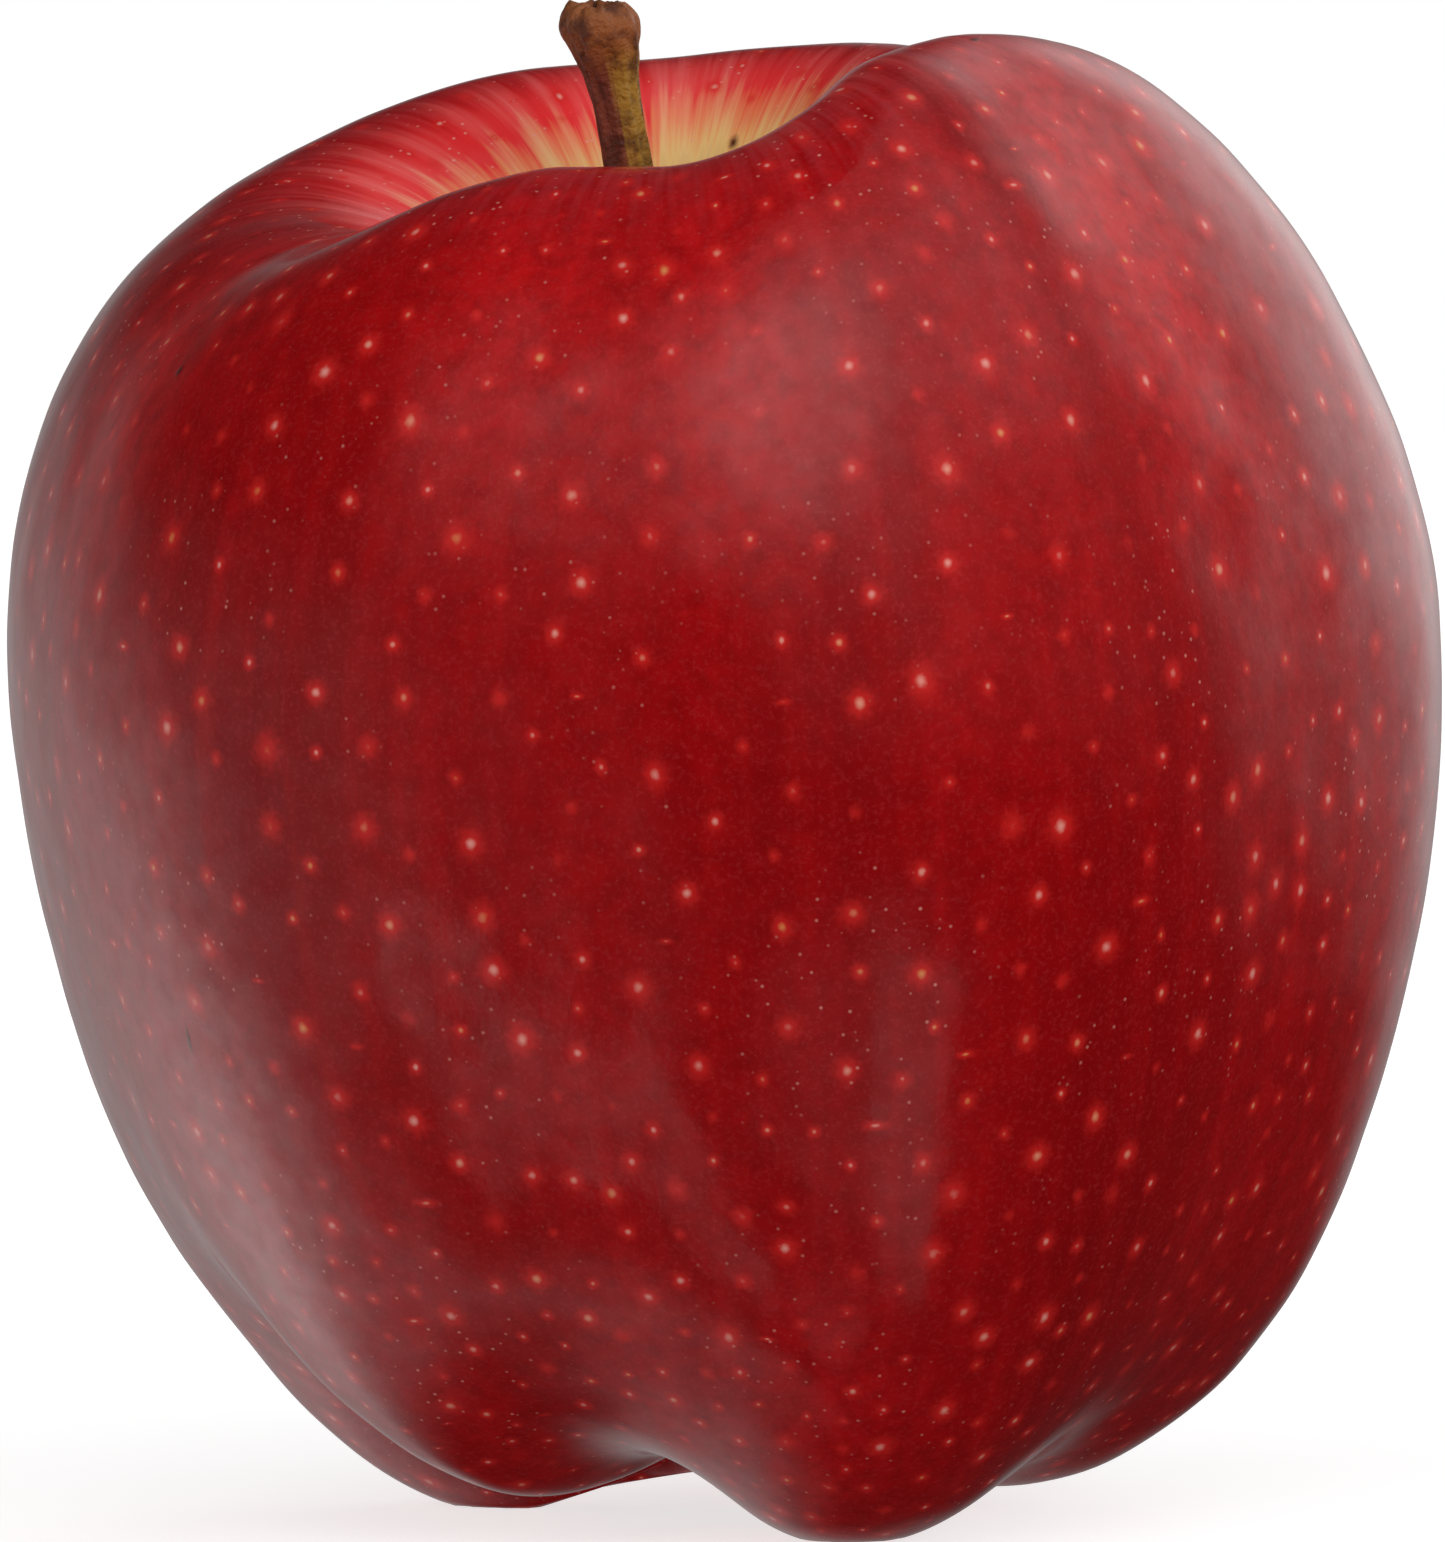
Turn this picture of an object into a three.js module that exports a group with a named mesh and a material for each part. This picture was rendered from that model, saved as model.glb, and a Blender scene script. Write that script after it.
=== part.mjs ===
// A whole red eating apple of the tall, five-lobed kind, standing on its lobe tips.
//
// The fruit is one solid. The stalk in the cavity on top, and the five dried sepals and the
// withered stamens in the basin underneath, are pieces of their own.
//
// Millimetres, +Z up. The front of the apple faces -Y and the table is z = 0.

import * as THREE from "three";

const { degToRad, euclideanModulo, lerp, smoothstep } = THREE.MathUtils;

// ---- Driving dimensions ---------------------------------------------------------------

/** The fruit as a turned shape, upright on its own axis, before the lobes are drawn out. */
const FRUIT = {
  height: 81.4, // lobe tips to shoulder crest
  radius: 42, // at the widest level
  widestLevel: 50,
  depthShare: 0.97, // front to back, as a share of the width
  tipRadius: 16.2, // ring on which the lobe tips lie
  crestRadius: 21.5, // ring on which the shoulders are highest
  basinDepth: 12, // eye of the fruit above its lobe tips
  cavityDepth: 16, // floor of the stalk cavity below the crest
};

/** Reach of the curve handles on either side of the eye, tips, widest level, crest and floor. */
const SWELL = {
  eye: 4,
  tipInwards: 9,
  tipOutwards: 14.1,
  widestDownwards: 26.3,
  widestUpwards: 13.2,
  crestOutwards: 10.6,
  crestInwards: 9,
  floor: 4,
};

/**
 * The five lobes, in turn round the fruit. Azimuth is in degrees from +X towards +Y. A drop
 * lowers the tip, a rib thickens the side, and rise and spread lift the crest and push it
 * outwards. Valley scales the furrow between this lobe and the next, and a skew below 1 moves
 * it nearer to this lobe.
 */
const LOBES = [
  // front right
  { azimuth: -69.7, drop: -1.4, rib: -1.1, rise: 4.2, spread: -1.2, valley: 0.4, skew: 1 },
  // right
  { azimuth: 2.4, drop: -0.6, rib: -0.4, rise: 0.6, spread: -1.3, valley: 0.5, skew: 1 },
  // back
  { azimuth: 64.7, drop: 3.4, rib: 0, rise: -0.4, spread: 1.8, valley: 1.8, skew: 1 },
  // back left
  { azimuth: 150.6, drop: 1.8, rib: 0.9, rise: -5.4, spread: 1.7, valley: 1.4, skew: 1 },
  // front left
  { azimuth: 223, drop: -3.6, rib: -2.7, rise: -0.5, spread: 0.3, valley: 0.9, skew: 0.7 },
];

/** What the lobes leave hollow between them. */
const BETWEEN = {
  furrowUp: 2.4, // arch between two tips
  furrowIn: 7.5, // depth of the furrow at the tips
  furrowSharpness: 1.3,
  furrowFade: 3, // how fast a furrow dies out up the side
  cheek: 2.4, // flattening of the cheeks
};

/** The shoulders sit turned against the tips, and pass into one another a little faster. */
const SHOULDER = { twist: 33.9, sharpness: 1.35 };

/** The cavity floor lies off the axis, towards the low shoulder. */
const CAVITY_SHIFT = { x: -1.8, y: 0 };

/** Tilt of the fruit's axis when it rests on three of its lobes, in degrees. */
const TILT = { x: 9.6, y: -1.7 };

/** Height of flesh pressed or worn flat where a lobe touches the table. */
const FLAT_DEPTH = 0.35;

const STALK = {
  seatGap: 0.5,
  length: 21.8,
  // radius at each share of the length, from the seat to the torn top
  section: [
    [0, 0],
    [1.15, 0.015],
    [1.75, 0.08],
    [1.55, 0.2],
    [1.35, 0.45],
    [1.28, 0.72],
    [1.5, 0.85],
    [2.2, 0.935],
    [1.7, 0.985],
    [0, 1],
  ],
  lean: { x: -2.5, y: 1 }, // reach of the top past the seat
  bow: 0.2, // bend of the middle away from the straight line
};

const SEPAL = {
  count: 5,
  ring: 2.4, // radius of the ring the sepals stand on
  rootDrop: 2.2, // their roots below the eye, clear of the flesh
  length: 6.6,
  width: 2.2,
  tipWidth: 0.5,
  thickness: 0.5,
  closing: 0.8, // how far the blades draw together half-way
  flare: 1.2, // how far the tips turn out again
  cupping: 0.3,
};

const STAMENS = {
  seatGap: 0.5,
  radius: 0.95,
  length: 5.2,
  flutes: 10,
  fluteShare: 0.14,
};

/** Mesh steps: along each stretch of the fruit's half section, and round each turned piece. */
const SECTION_STEPS = [8, 11, 9, 9];
const FRUIT_STEPS = 60;
const STALK_STEPS = { along: 22, round: 18 };
const SEPAL_STEPS = { along: 8, across: 2 };
const STAMEN_STEPS = { along: 5, round: 40 };

// ---- Materials ------------------------------------------------------------------------

const material = (color, roughness) =>
  new THREE.MeshStandardMaterial({ color, roughness, metalness: 0 });

const SKIN = material(0x86101a, 0.3);
const STALK_BARK = material(0x6b4a26, 0.75);
const DRY_SEPAL = material(0x6a5236, 0.9);
const DRY_STAMEN = material(0x3b2a1c, 0.95);

// ---- Fruit ----------------------------------------------------------------------------

/** A smooth rise from 0, one unit away from the middle, to 1 at the middle. */
const bump = (distance) => smoothstep(1 - Math.abs(distance), 0, 1);

const curve = (...points) =>
  new THREE.CubicBezierCurve(...points.map(([x, y]) => new THREE.Vector2(x, y)));

/** The half section in four stretches: basin, cheek, shoulder and cavity. */
function halfSection() {
  const { height, radius, widestLevel, tipRadius, crestRadius, basinDepth } = FRUIT;
  const floor = height - FRUIT.cavityDepth;
  return [
    curve(
      [0, basinDepth],
      [SWELL.eye, basinDepth],
      [tipRadius - SWELL.tipInwards, 0],
      [tipRadius, 0],
    ),
    curve(
      [tipRadius, 0],
      [tipRadius + SWELL.tipOutwards, 0],
      [radius, widestLevel - SWELL.widestDownwards],
      [radius, widestLevel],
    ),
    curve(
      [radius, widestLevel],
      [radius, widestLevel + SWELL.widestUpwards],
      [crestRadius + SWELL.crestOutwards, height],
      [crestRadius, height],
    ),
    curve(
      [crestRadius, height],
      [crestRadius - SWELL.crestInwards, height],
      [SWELL.floor, floor],
      [0, floor],
    ),
  ];
}

/**
 * Points of the half section, each with its stage: 0 at the eye, 1 at the tips, 2 at the
 * widest level, 3 at the crest and 4 at the cavity floor.
 */
function sectionPoints() {
  const points = [];
  halfSection().forEach((stretch, index) => {
    const steps = SECTION_STEPS[index];
    for (let step = 0; step < steps; step += 1) {
      points.push({ at: stretch.getPoint(step / steps), stage: index + step / steps });
    }
  });
  points.push({ at: halfSection().at(-1).getPoint(1), stage: 4 });
  return points;
}

/** Where an azimuth lies between its two neighbouring lobes, and how their sizes mix there. */
function betweenLobes(azimuth, sharpness) {
  const offsets = LOBES.map((lobe) => lobe.azimuth - LOBES[0].azimuth);
  const turned = euclideanModulo(azimuth - LOBES[0].azimuth, 360);
  const index = offsets.findLastIndex((offset) => offset <= turned);
  const lobe = LOBES[index];
  const next = LOBES[(index + 1) % LOBES.length];
  const width = (offsets[index + 1] ?? 360) - offsets[index];
  const fraction = (turned - offsets[index]) / width;
  const share = smoothstep((fraction - 0.5) * sharpness + 0.5, 0, 1);
  return {
    hollow: Math.sin(Math.PI * fraction) ** 2,
    valley: lobe.valley * Math.sin(Math.PI * fraction ** lobe.skew) ** (2 * BETWEEN.furrowSharpness),
    mix: (size) => lerp(lobe[size], next[size], share),
  };
}

/** A point of the fruit's surface, upright on its own axis. */
function fruitPoint({ at, stage }, azimuth) {
  const tips = bump(stage - 1);
  const crest = bump(stage - 3);
  const side = smoothstep(Math.min(stage, 4 - stage), 0, 1);
  const cavity = smoothstep(stage, 3, 4);
  const below = betweenLobes(azimuth, 1);
  const above = betweenLobes(azimuth - SHOULDER.twist, SHOULDER.sharpness);
  const furrow = below.valley * tips ** BETWEEN.furrowFade;
  const radius =
    at.x +
    side * (below.mix("rib") - BETWEEN.cheek * below.hollow) -
    BETWEEN.furrowIn * furrow * Math.min(at.x / FRUIT.tipRadius, 1) +
    above.mix("spread") * crest * Math.min(at.x / FRUIT.crestRadius, 1);
  const level =
    at.y -
    tips * below.mix("drop") +
    BETWEEN.furrowUp * furrow +
    crest * above.mix("rise");
  const angle = degToRad(azimuth);
  return new THREE.Vector3(
    radius * Math.cos(angle) + cavity * CAVITY_SHIFT.x,
    radius * Math.sin(angle) * FRUIT.depthShare + cavity * CAVITY_SHIFT.y,
    level,
  );
}

const tilt = new THREE.Matrix4().makeRotationFromEuler(
  new THREE.Euler(degToRad(TILT.x), degToRad(TILT.y), 0),
);

/** The turned mesh with every vertex moved to its place on the lobed, tilted fruit. */
function tiltedFruit() {
  const points = sectionPoints();
  const geometry = new THREE.LatheGeometry(
    points.map((point) => point.at),
    FRUIT_STEPS,
  );
  const position = geometry.getAttribute("position");
  for (let index = 0; index < position.count; index += 1) {
    const column = Math.floor(index / points.length) % FRUIT_STEPS;
    const azimuth = (column / FRUIT_STEPS) * 360 - 90;
    const point = fruitPoint(points[index % points.length], azimuth);
    position.setXYZ(index, point.x, point.y, point.z);
  }
  return geometry.applyMatrix4(tilt);
}

/** Lowers the fruit by the flat depth into the table and flattens what is below it. */
function flattenAtTable(geometry) {
  const position = geometry.getAttribute("position");
  for (let index = 0; index < position.count; index += 1) {
    position.setZ(index, Math.max(position.getZ(index), 0));
  }
  geometry.computeVertexNormals();
  return geometry;
}

// ---- Stalk, sepals and stamens --------------------------------------------------------

/**
 * A mesh turned about +Z from a section of (radius, height) points. place(at, angle) gives the
 * final position of a section point at an angle round the axis.
 */
function turned(section, steps, place) {
  const geometry = new THREE.LatheGeometry(section, steps);
  const position = geometry.getAttribute("position");
  for (let index = 0; index < position.count; index += 1) {
    const at = section[index % section.length];
    const column = Math.floor(index / section.length) % steps;
    const point = place(at, (column / steps) * 2 * Math.PI - Math.PI / 2);
    position.setXYZ(index, point.x, point.y, point.z);
  }
  geometry.computeVertexNormals();
  return geometry;
}

/** The stalk, from its seat at the origin up to the torn, thickened top. */
function stalkGeometry() {
  const outline = new THREE.SplineCurve(
    STALK.section.map(([radius, share]) => new THREE.Vector2(radius, share * STALK.length)),
  );
  const section = outline.getPoints(STALK_STEPS.along);
  section.forEach((point) => {
    point.x = Math.max(point.x, 0);
  });
  section.at(0).x = 0;
  section.at(-1).x = 0;
  return turned(section, STALK_STEPS.round, (at, angle) => {
    const share = at.y / STALK.length;
    return new THREE.Vector3(
      at.x * Math.cos(angle) + STALK.lean.x * share + STALK.bow * Math.sin(Math.PI * share),
      at.x * Math.sin(angle) + STALK.lean.y * share,
      at.y,
    );
  });
}

/** One dried sepal: a thin blade that hangs from the basin floor, closes and flares again. */
function sepalGeometry() {
  const { length, width, tipWidth, thickness, closing, flare, cupping } = SEPAL;
  const geometry = new THREE.BoxGeometry(
    thickness,
    1,
    length,
    1,
    SEPAL_STEPS.across,
    SEPAL_STEPS.along,
  );
  const position = geometry.getAttribute("position");
  for (let index = 0; index < position.count; index += 1) {
    const down = 0.5 - position.getZ(index) / length;
    const across = position.getY(index) * 2;
    const outwards = flare * down ** 2 - closing * Math.sin(Math.PI * down);
    position.setX(index, position.getX(index) + outwards - cupping * across ** 2);
    position.setY(index, (across / 2) * lerp(width, tipWidth, down ** 1.5));
    position.setZ(index, -down * length);
  }
  geometry.computeVertexNormals();
  return geometry;
}

/** The withered stamens: a fluted tuft that hangs from the eye of the fruit. */
function stamenGeometry() {
  const { radius, length, flutes, fluteShare } = STAMENS;
  const section = [new THREE.Vector2(0, -length)];
  for (let step = 0; step <= STAMEN_STEPS.along; step += 1) {
    const share = step / STAMEN_STEPS.along;
    section.push(new THREE.Vector2(lerp(0.7, 1, share) * radius, (share - 1) * length));
  }
  section.push(new THREE.Vector2(0, 0));
  return turned(section, STAMEN_STEPS.round, (at, angle) => {
    const reach = at.x * (1 + fluteShare * Math.cos(flutes * angle));
    return new THREE.Vector3(reach * Math.cos(angle), reach * Math.sin(angle), at.y);
  });
}

// ---- Assembly -------------------------------------------------------------------------

function named(name, geometry, finish) {
  const mesh = new THREE.Mesh(geometry, finish);
  mesh.name = name;
  return mesh;
}

const fruitShape = tiltedFruit();
fruitShape.computeBoundingBox();
const box = fruitShape.boundingBox;
const stand = new THREE.Vector3(
  -(box.min.x + box.max.x) / 2,
  -(box.min.y + box.max.y) / 2,
  -box.min.z - FLAT_DEPTH,
);
fruitShape.translate(stand.x, stand.y, stand.z);

const apple = new THREE.Group();
apple.add(named("fruit", flattenAtTable(fruitShape), SKIN));

// Everything that sits in the fruit leans with it.
const onAxis = new THREE.Group();
onAxis.setRotationFromMatrix(tilt);
onAxis.position.copy(stand);
apple.add(onAxis);

const stalk = named("stalk", stalkGeometry(), STALK_BARK);
const cavityFloor = FRUIT.height - FRUIT.cavityDepth;
stalk.position.set(CAVITY_SHIFT.x, CAVITY_SHIFT.y, cavityFloor + STALK.seatGap);
onAxis.add(stalk);

const stamens = named("stamens", stamenGeometry(), DRY_STAMEN);
stamens.position.z = FRUIT.basinDepth - STAMENS.seatGap;
onAxis.add(stamens);

for (let index = 0; index < SEPAL.count; index += 1) {
  const angle = (index / SEPAL.count) * 2 * Math.PI;
  const sepal = named(`sepal_${index + 1}`, sepalGeometry(), DRY_SEPAL);
  sepal.position.set(
    SEPAL.ring * Math.cos(angle),
    SEPAL.ring * Math.sin(angle),
    FRUIT.basinDepth - SEPAL.rootDrop,
  );
  sepal.rotation.z = angle;
  onAxis.add(sepal);
}

export default apple;
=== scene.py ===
"""A tall, five-lobed red dessert apple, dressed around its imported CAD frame.

The fruit is one waxed, dotted skin that grew in one piece. A torn stalk stands in the cavity on
top, and five dried sepals and a tuft of stamens hang in the basin underneath. The frame gives
the places, and the classes below hold the grown shapes in millimetres and degrees.
"""

from __future__ import annotations

import logging
import math
from dataclasses import dataclass, field
from enum import Enum
from functools import partial

import bpy
import numpy as np
from mathutils import Matrix, Vector, kdtree, noise


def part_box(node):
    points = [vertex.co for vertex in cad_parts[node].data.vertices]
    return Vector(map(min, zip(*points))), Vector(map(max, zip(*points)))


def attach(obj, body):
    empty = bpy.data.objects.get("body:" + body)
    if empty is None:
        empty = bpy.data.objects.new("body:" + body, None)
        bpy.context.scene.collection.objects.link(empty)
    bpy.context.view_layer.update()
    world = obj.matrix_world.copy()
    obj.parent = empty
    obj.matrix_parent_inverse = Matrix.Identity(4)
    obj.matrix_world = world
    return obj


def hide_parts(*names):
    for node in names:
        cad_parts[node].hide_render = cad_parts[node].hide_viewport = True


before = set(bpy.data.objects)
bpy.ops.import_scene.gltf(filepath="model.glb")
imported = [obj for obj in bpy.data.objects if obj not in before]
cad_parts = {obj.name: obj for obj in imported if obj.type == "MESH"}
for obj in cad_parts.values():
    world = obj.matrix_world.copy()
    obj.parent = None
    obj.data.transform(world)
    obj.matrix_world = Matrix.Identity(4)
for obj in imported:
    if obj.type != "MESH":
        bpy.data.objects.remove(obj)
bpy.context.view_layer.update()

MM = 0.001
FULL_TURN = 360.0
LOG = logging.getLogger("apple")

Colour = tuple[float, float, float, float]
WHITE: Colour = (1.0, 1.0, 1.0, 1.0)


# ---- Small helpers ------------------------------------------------------------------------


def to_linear(code: str) -> Colour:
    """Turns an sRGB hex colour into the linear colour that shaders take.

    Args:
        code: Six hex digits, such as "8a1020".

    Returns:
        Linear red, green and blue, with an alpha of 1.
    """
    parts = [int(code[place : place + 2], 16) / 255 for place in (0, 2, 4)]
    linear = [c / 12.92 if c <= 0.04045 else ((c + 0.055) / 1.055) ** 2.4 for c in parts]
    return (*linear, 1.0)


def smooth(value: np.ndarray, start: float = 0.0, end: float = 1.0) -> np.ndarray:
    """Rises smoothly from 0 at start to 1 at end.

    Args:
        value: Where to read the rise.
        start: Value at which it starts.
        end: Value at which it ends.

    Returns:
        The share of the rise, from 0 to 1.
    """
    share = np.clip((value - start) / (end - start), 0.0, 1.0)
    return share * share * (3.0 - 2.0 * share)


def add_node(
    tree: bpy.types.NodeTree,
    kind: str,
    inputs: dict[str | int, object] | None = None,
    **settings: object,
) -> bpy.types.Node:
    """Adds a node with its settings and links.

    Args:
        tree: Node tree that gets the node.
        kind: Blender's name of the node type, after its first word "ShaderNode".
        inputs: A value, a socket, or a node whose first output is meant, for each input.
        settings: Properties of the node, by name.

    Returns:
        The new node.
    """
    node = tree.nodes.new("ShaderNode" + kind)
    for name, value in settings.items():
        setattr(node, name, value)
    for place, value in (inputs or {}).items():
        if isinstance(value, bpy.types.Node):
            value = value.outputs[0]
        if isinstance(value, bpy.types.NodeSocket):
            tree.links.new(value, node.inputs[place])
        else:
            node.inputs[place].default_value = value
    return node


def paint_ramp(node: bpy.types.Node, *stops: tuple[float, str]) -> bpy.types.Node:
    """Sets the stops of a colour ramp.

    Args:
        node: The ramp's node.
        stops: Place and sRGB hex colour of each stop, in rising order.

    Returns:
        The same node.
    """
    elements = node.color_ramp.elements
    while len(elements) < len(stops):
        elements.new(0.5)
    for element, (place, code) in zip(elements, stops):
        element.position = place
        element.color = to_linear(code)
    return node


def tint(
    add: partial,
    base: bpy.types.Node | Colour,
    pattern: bpy.types.Node,
    span: tuple[float, float],
    most: float,
    code: str,
) -> bpy.types.Node:
    """Lays a colour over another where a pattern is strong.

    Args:
        add: Adds a node to the finish's tree.
        base: The colour so far.
        pattern: Says how much of the new colour shows.
        span: The pattern's values where the new colour starts and where it is fullest.
        most: Share of the new colour where it is fullest.
        code: The new colour, in sRGB hex.

    Returns:
        The colour after it.
    """
    share = add("MapRange", {0: pattern, 1: span[0], 2: span[1], 3: 0.0, 4: most})
    return add("MixRGB", {0: share, 1: base, 2: to_linear(code)})


def drawn_out_noise(
    add: partial, place: bpy.types.NodeSocket, stretch: tuple[float, float, float], detail: float
) -> bpy.types.Node:
    """Makes an uneven pattern that is drawn out along the growth.

    Args:
        add: Adds a node to the finish's tree.
        place: Where each point grew.
        stretch: How fast the pattern changes along each axis of the place.
        detail: Its layers of finer pattern.

    Returns:
        The pattern, from 0 to 1.
    """
    stretched = add("VectorMath", {0: place, 1: stretch}, operation="MULTIPLY")
    return add("TexNoise", {"Vector": stretched, "Scale": 1.0, "Detail": detail})


def new_material(name: str) -> tuple[bpy.types.Material, bpy.types.NodeTree]:
    """Makes an empty node material.

    Args:
        name: The finish's common name.

    Returns:
        The material and its node tree.
    """
    material = bpy.data.materials.new(name)
    material.use_nodes = True
    material.node_tree.nodes.clear()
    return material, material.node_tree


def mesh_object(
    name: str, points: np.ndarray, faces: list[tuple[int, ...]], material: bpy.types.Material
) -> bpy.types.Object:
    """Makes a smooth-shaded mesh object at the origin.

    Args:
        name: Name of the piece.
        points: Vertex places in metres, one row each.
        faces: Vertex numbers round each face.
        material: Its finish.

    Returns:
        The new object, linked to the scene.
    """
    mesh = bpy.data.meshes.new(name)
    mesh.from_pydata(points.tolist(), [], faces)
    mesh.polygons.foreach_set("use_smooth", np.ones(len(faces), dtype=bool))
    mesh.materials.append(material)
    mesh.update()
    piece = bpy.data.objects.new(name, mesh)
    bpy.context.scene.collection.objects.link(piece)
    return piece


def add_layer(mesh: bpy.types.Mesh, name: str, values: np.ndarray, domain: str) -> None:
    """Stores a number or a vector at each point or face, for the finish to read.

    Args:
        mesh: Mesh that gets the layer.
        name: Name by which the finish reads it.
        values: A number or a row of three for each point or face.
        domain: "POINT" or "FACE".
    """
    kind, key = ("FLOAT", "value") if values.ndim == 1 else ("FLOAT_VECTOR", "vector")
    layer = mesh.attributes.new(name, kind, domain)
    layer.data.foreach_set(key, values.astype(np.float32).ravel())


def ring_faces(rings: int, round_steps: int, first: int = 0) -> list[tuple[int, ...]]:
    """Quads between closed rings of vertices that follow one another.

    Args:
        rings: Number of rings.
        round_steps: Vertices in each ring.
        first: Number of the first vertex.

    Returns:
        The quads, facing out where rings go up and vertices turn anticlockwise.
    """
    faces = []
    for ring in range(rings - 1):
        low = first + ring * round_steps
        for step in range(round_steps):
            after = (step + 1) % round_steps
            faces.append(
                (low + step, low + after, low + round_steps + after, low + round_steps + step)
            )
    return faces


def cap_faces(ring: int, pole: int, round_steps: int, upwards: bool) -> list[tuple[int, ...]]:
    """Triangles from a ring of vertices to one pole.

    Args:
        ring: Number of the ring's first vertex.
        pole: Number of the pole's vertex.
        round_steps: Vertices in the ring.
        upwards: Whether the pole ends the mesh at its top.

    Returns:
        The triangles, facing out.
    """
    faces = []
    for step in range(round_steps):
        after = ring + (step + 1) % round_steps
        here = ring + step
        faces.append((here, after, pole) if upwards else (after, here, pole))
    return faces


# ---- The grown shape ----------------------------------------------------------------------


@dataclass(frozen=True)
class Lobe:
    """One of the five lobes, in degrees and millimetres.

    A drop lowers the tip, a rib thickens the side, and rise and spread lift the crest and push
    it outwards. Valley scales the furrow between this lobe and the next, and a skew below 1
    moves it nearer to this lobe.
    """

    azimuth: float
    drop: float
    rib: float
    rise: float
    spread: float
    valley: float
    skew: float = 1.0


LOBES = (
    Lobe(-69.7, -1.4, -1.1, 4.2, -1.2, 0.4),  # front right
    Lobe(2.4, -0.6, -0.4, 0.6, -1.3, 0.5),  # right
    Lobe(64.7, 3.4, 0.0, -0.4, 1.8, 1.8),  # back
    Lobe(150.6, 1.8, 0.9, -5.4, 1.7, 1.4),  # back left
    Lobe(223.0, -3.6, -2.7, -0.5, 0.3, 0.9, 0.7),  # front left
)


class Stage(float, Enum):
    """Marks along the half section, from the eye underneath to the floor of the cavity."""

    EYE = 0.0
    TIPS = 1.0
    WIDEST = 2.0
    CREST = 3.0
    FLOOR = 4.0


@dataclass(frozen=True)
class FruitForm:
    """The fruit's surface as a formula, in millimetres and degrees."""

    height: float = 81.4
    radius: float = 42.0
    widest_level: float = 50.0
    depth_share: float = 0.97
    tip_radius: float = 16.2
    crest_radius: float = 21.5
    basin_depth: float = 12.0
    cavity_depth: float = 16.0
    eye_reach: float = 4.0
    tip_inwards: float = 9.0
    tip_outwards: float = 14.1
    widest_downwards: float = 26.3
    widest_upwards: float = 13.2
    crest_outwards: float = 10.6
    crest_inwards: float = 9.0
    floor_reach: float = 4.0
    furrow_up: float = 2.4
    furrow_in: float = 7.5
    furrow_sharpness: float = 1.3
    furrow_fade: float = 3.0
    cheek: float = 2.4
    shoulder_twist: float = 33.9
    shoulder_sharpness: float = 1.35
    cavity_shift: float = -1.8
    tilt_x: float = 9.6
    tilt_y: float = -1.7
    samples: int = 2001
    lobes: tuple[Lobe, ...] = LOBES

    def handles(self) -> np.ndarray:
        """Works out the four curves of the half section.

        Returns:
            Four (radius, level) points of each curve.
        """
        floor = self.height - self.cavity_depth
        eye = (0.0, self.basin_depth)
        tip = (self.tip_radius, 0.0)
        widest = (self.radius, self.widest_level)
        crest = (self.crest_radius, self.height)
        below_widest = (self.radius, self.widest_level - self.widest_downwards)
        above_widest = (self.radius, self.widest_level + self.widest_upwards)
        before_crest = (self.crest_radius + self.crest_outwards, self.height)
        after_crest = (self.crest_radius - self.crest_inwards, self.height)
        return np.array(
            [
                [eye, (self.eye_reach, eye[1]), (tip[0] - self.tip_inwards, 0.0), tip],
                [tip, (tip[0] + self.tip_outwards, 0.0), below_widest, widest],
                [widest, above_widest, before_crest, crest],
                [crest, after_crest, (self.floor_reach, floor), (0.0, floor)],
            ]
        )

    def section(self, stage: np.ndarray) -> tuple[np.ndarray, np.ndarray]:
        """Reads the half section.

        Args:
            stage: Stages from 0 to 4.

        Returns:
            Radius and level at each stage.
        """
        stretch = np.minimum(stage.astype(int), int(Stage.CREST))
        share = stage - stretch
        rest = 1.0 - share
        weights = np.stack([rest**3, 3 * share * rest**2, 3 * share**2 * rest, share**3], axis=-1)
        places = (weights[..., None] * self.handles()[stretch]).sum(axis=-2)
        return places[..., 0], places[..., 1]

    def between(
        self, azimuth: np.ndarray, sharpness: float
    ) -> tuple[np.ndarray, np.ndarray, np.ndarray, np.ndarray]:
        """Finds where azimuths lie between neighbouring lobes.

        Args:
            azimuth: Azimuths in degrees.
            sharpness: How fast one lobe passes into the next.

        Returns:
            The lobe before, the lobe after, the share of the one after, and the fraction of the
            way from one to the other.
        """
        offsets = np.array([lobe.azimuth for lobe in self.lobes]) - self.lobes[0].azimuth
        turned = np.mod(azimuth - self.lobes[0].azimuth, FULL_TURN)
        before = np.searchsorted(offsets, turned, side="right") - 1
        width = np.append(offsets, FULL_TURN)[before + 1] - offsets[before]
        fraction = (turned - offsets[before]) / width
        share = smooth((fraction - 0.5) * sharpness + 0.5)
        return before, (before + 1) % len(self.lobes), share, fraction

    def surface(self, stage: np.ndarray, azimuth: np.ndarray) -> np.ndarray:
        """Gives points of the surface, leaning as it stands, before it is set on the table.

        Args:
            stage: Stages from 0 to 4.
            azimuth: Azimuths in degrees, of the same shape.

        Returns:
            Places in millimetres, with x, y and z along the last axis.
        """
        radius, level = self.section(stage)
        tips = smooth(1.0 - np.abs(stage - Stage.TIPS))
        crest = smooth(1.0 - np.abs(stage - Stage.CREST))
        side = smooth(np.minimum(stage, Stage.FLOOR - stage))
        cavity = smooth(stage, Stage.CREST, Stage.FLOOR)
        facts = [(b.drop, b.rib, b.rise, b.spread, b.valley, b.skew) for b in self.lobes]
        drop, rib, rise, spread, valley, skew = np.array(facts).T
        *low, fraction = self.between(azimuth, 1.0)
        *high, _ = self.between(azimuth - self.shoulder_twist, self.shoulder_sharpness)

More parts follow.
